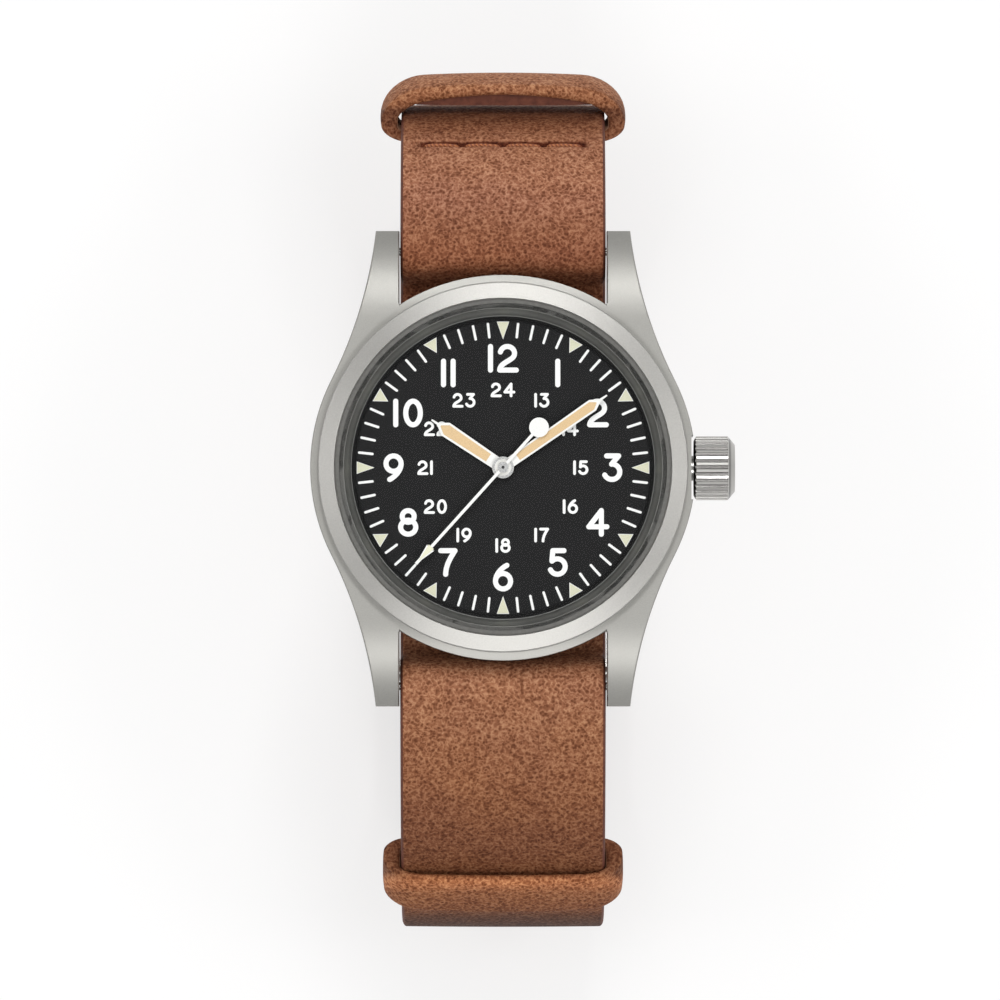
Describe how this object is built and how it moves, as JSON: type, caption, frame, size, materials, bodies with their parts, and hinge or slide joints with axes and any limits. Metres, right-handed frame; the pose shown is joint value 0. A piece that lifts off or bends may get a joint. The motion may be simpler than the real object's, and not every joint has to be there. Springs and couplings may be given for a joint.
{
  "type": "field watch",
  "caption": "Hand-wound round wristwatch with lugs, fluted crown, dark dial with luminous hands, and a closed pass-through leather strap with keepers and a pin buckle",
  "frame": {"origin": "on the table, straight under the axis of the hands, on the flat outer face of the buckle keeper that the watch stands on", "axes": "+X to the crown, +Y to twelve o'clock, +Z out of the dial"},
  "size_m": [0.0423, 0.0863, 0.0547],
  "materials": {
    "case_steel": "bead-blasted",
    "polished_steel": "polished",
    "sapphire": "polished",
    "rubber_seal": "matt",
    "dial_black": "matt",
    "ring_grey": "satin",
    "hand_white": "gloss",
    "movement_steel": "brushed",
    "movement_brass": "fine-ground",
    "wheel_brass": "brushed",
    "ruby": "polished",
    "strap_leather": "pebbled"
  },
  "bodies": {
    "watch": {"mid_case": "case_steel", "bezel": "case_steel", "crystal": "sapphire", "crystal_gasket": "rubber_seal", "dial_ring": "ring_grey", "dial": "dial_black", "movement_ring": "movement_steel", "case_back": "case_steel", "case_back_gasket": "rubber_seal", "crown_tube": "polished_steel", "main_plate": "movement_brass", "barrel_bridge": "movement_brass", "train_bridge": "movement_brass", "balance_cock": "movement_brass", "centre_tube": "movement_steel", "jewels": "ruby", "movement_screws": "movement_steel", "click_spring": "movement_steel", "hairspring": "movement_steel", "spring_bar_tubes": "polished_steel", "spring_bar_springs": "movement_steel", "main_strap": "strap_leather", "under_strap": "strap_leather", "upper_keeper": "strap_leather", "lower_keeper": "strap_leather", "buckle_keeper": "strap_leather"},
    "seconds": {"seconds_hand": "hand_white", "seconds_wheel": "wheel_brass"},
    "minutes": {"minute_hand": "hand_white", "cannon_pinion": "wheel_brass"},
    "hours": {"hour_hand": "hand_white", "hour_wheel": "wheel_brass"},
    "minute_wheel_body": {"minute_wheel": "wheel_brass"},
    "setting_wheel_body": {"setting_wheel": "wheel_brass"},
    "third": {"third_wheel": "wheel_brass"},
    "second": {"second_wheel": "wheel_brass"},
    "barrel": {"barrel_drum": "wheel_brass", "barrel_cover": "wheel_brass", "mainspring": "movement_steel"},
    "ratchet": {"ratchet_wheel": "movement_steel", "barrel_arbor": "movement_steel"},
    "crown_wheel_body": {"crown_wheel": "movement_steel"},
    "winding_pinion_body": {"winding_pinion": "movement_steel"},
    "crown_slide": {"crown_gasket": "rubber_seal"},
    "crown_body": {"crown": "polished_steel", "winding_stem": "movement_steel"},
    "clutch": {"sliding_pinion": "movement_steel"},
    "setting_lever_body": {"setting_lever": "movement_steel"},
    "yoke_body": {"yoke": "movement_steel"},
    "escape": {"escape_wheel": "movement_steel"},
    "pallet": {"pallet_fork": "movement_steel"},
    "balance": {"balance_wheel": "wheel_brass"},
    "click_body": {"click": "movement_steel"},
    "pin_12_right": {"bar_pin_12_right": "polished_steel"},
    "pin_12_left": {"bar_pin_12_left": "polished_steel"},
    "pin_6_right": {"bar_pin_6_right": "polished_steel"},
    "pin_6_left": {"bar_pin_6_left": "polished_steel"},
    "buckle": {"buckle_frame": "polished_steel", "buckle_bar": "polished_steel"},
    "tongue": {"buckle_tongue": "polished_steel"}
  },
  "joints": [
    {"name": "seconds_turn", "type": "hinge", "parent": "watch", "child": "seconds", "pos_m": [0, 0, 0.05132], "axis": [0, 0, -1], "continuous": true},
    {"name": "minutes_turn", "type": "hinge", "parent": "watch", "child": "minutes", "pos_m": [0, 0, 0.05132], "axis": [0, 0, -1], "continuous": true},
    {"name": "hours_turn", "type": "hinge", "parent": "watch", "child": "hours", "pos_m": [0, 0, 0.05132], "axis": [0, 0, -1], "continuous": true},
    {"name": "minute_wheel_turn", "type": "hinge", "parent": "watch", "child": "minute_wheel_body", "pos_m": [0.00197, -0.00138, 0.05107], "axis": [0, 0, -1], "continuous": true},
    {"name": "setting_wheel_turn", "type": "hinge", "parent": "watch", "child": "setting_wheel_body", "pos_m": [0.0044, 0, 0.05107], "axis": [0, 0, -1], "continuous": true},
    {"name": "third_turn", "type": "hinge", "parent": "watch", "child": "third", "pos_m": [-0.00331, 0.00191, 0.04932], "axis": [0, 0, -1], "continuous": true},
    {"name": "second_turn", "type": "hinge", "parent": "watch", "child": "second", "pos_m": [-0.00326, 0.00574, 0.04932], "axis": [0, 0, -1], "continuous": true},
    {"name": "barrel_turn", "type": "hinge", "parent": "watch", "child": "barrel", "pos_m": [0.00287, 0.00616, 0.04992], "axis": [0, 0, -1], "continuous": true},
    {"name": "escape_turn", "type": "hinge", "parent": "watch", "child": "escape", "pos_m": [-0.00182, -0.00315, 0.04932], "axis": [0, 0, -1], "continuous": true},
    {"name": "crown_pull", "type": "slide", "parent": "watch", "child": "crown_slide", "axis": [1, 0, 0], "range_m": [0, 0.0008]},
    {"name": "crown_turn", "type": "hinge", "parent": "crown_slide", "child": "crown_body", "pos_m": [0.02, 0, 0.04992], "axis": [1, 0, 0], "continuous": true},
    {"name": "winding_pinion_turn", "type": "hinge", "parent": "watch", "child": "winding_pinion_body", "pos_m": [0.0083, 0, 0.04992], "axis": [1, 0, 0], "continuous": true},
    {"name": "crown_wheel_turn", "type": "hinge", "parent": "watch", "child": "crown_wheel_body", "pos_m": [0.006, 0, 0.04782], "axis": [0, 0, 1], "continuous": true},
    {"name": "ratchet_turn", "type": "hinge", "parent": "watch", "child": "ratchet", "pos_m": [0.00287, 0.00616, 0.04782], "axis": [0, 0, 1], "continuous": true},
    {"name": "clutch_slide", "type": "slide", "parent": "crown_body", "child": "clutch", "axis": [1, 0, 0], "range_m": [-0.0016, 0]},
    {"name": "setting_lever_turn", "type": "hinge", "parent": "watch", "child": "setting_lever_body", "pos_m": [0.00985, -0.0026, 0.05092], "axis": [0, 0, 1], "range_deg": [-17.97, 0]},
    {"name": "yoke_turn", "type": "hinge", "parent": "watch", "child": "yoke_body", "pos_m": [0.0063, -0.0036, 0.05092], "axis": [0, 0, 1], "range_deg": [0, 12.62]},
    {"name": "pallet_rock", "type": "hinge", "parent": "watch", "child": "pallet", "pos_m": [-0.00386, -0.00372, 0.04998], "axis": [0, 0, 1], "range_deg": [-6, 6]},
    {"name": "balance_swing", "type": "hinge", "parent": "watch", "child": "balance", "pos_m": [-0.0063, -0.00439, 0.04932], "axis": [0, 0, 1], "range_deg": [-270, 270], "stiffness_Nm_per_rad": 0.000000355},
    {"name": "click_release", "type": "hinge", "parent": "watch", "child": "click_body", "pos_m": [0.0007, 0.01155, 0.04782], "axis": [0, 0, 1], "range_deg": [0, 8]},
    {"name": "pin_12_right_press", "type": "slide", "parent": "watch", "child": "pin_12_right", "axis": [-1, 0, 0], "range_m": [0, 0.001]},
    {"name": "pin_12_left_press", "type": "slide", "parent": "watch", "child": "pin_12_left", "axis": [1, 0, 0], "range_m": [0, 0.001]},
    {"name": "pin_6_right_press", "type": "slide", "parent": "watch", "child": "pin_6_right", "axis": [-1, 0, 0], "range_m": [0, 0.001]},
    {"name": "pin_6_left_press", "type": "slide", "parent": "watch", "child": "pin_6_left", "axis": [1, 0, 0], "range_m": [0, 0.001]},
    {"name": "buckle_open", "type": "hinge", "parent": "watch", "child": "buckle", "pos_m": [0, -0.009, 0.00432], "axis": [1, 0, 0], "range_deg": [0, 12]},
    {"name": "tongue_open", "type": "hinge", "parent": "buckle", "child": "tongue", "pos_m": [0, -0.009, 0.00432], "axis": [1, 0, 0], "range_deg": [0, 12]}
  ],
  "couplings": [
    {"joint": "minutes_turn", "follows": "seconds_turn", "ratio": 0.016667},
    {"joint": "hours_turn", "follows": "seconds_turn", "ratio": 0.0013889},
    {"joint": "minute_wheel_turn", "follows": "seconds_turn", "ratio": -0.0055556},
    {"joint": "setting_wheel_turn", "follows": "seconds_turn", "ratio": 0.01},
    {"joint": "third_turn", "follows": "seconds_turn", "ratio": -0.13333},
    {"joint": "second_turn", "follows": "seconds_turn", "ratio": 0.016667},
    {"joint": "barrel_turn", "follows": "seconds_turn", "ratio": -0.0023148},
    {"joint": "escape_turn", "follows": "seconds_turn", "ratio": -12},
    {"joint": "winding_pinion_turn", "follows": "crown_turn", "ratio": 1},
    {"joint": "crown_wheel_turn", "follows": "crown_turn", "ratio": 0.5},
    {"joint": "ratchet_turn", "follows": "crown_turn", "ratio": -0.25},
    {"joint": "clutch_slide", "follows": "crown_pull", "ratio": -2},
    {"joint": "setting_lever_turn", "follows": "crown_pull", "rad_per_m": -390.96},
    {"joint": "yoke_turn", "follows": "crown_pull", "rad_per_m": 274.15}
  ]
}
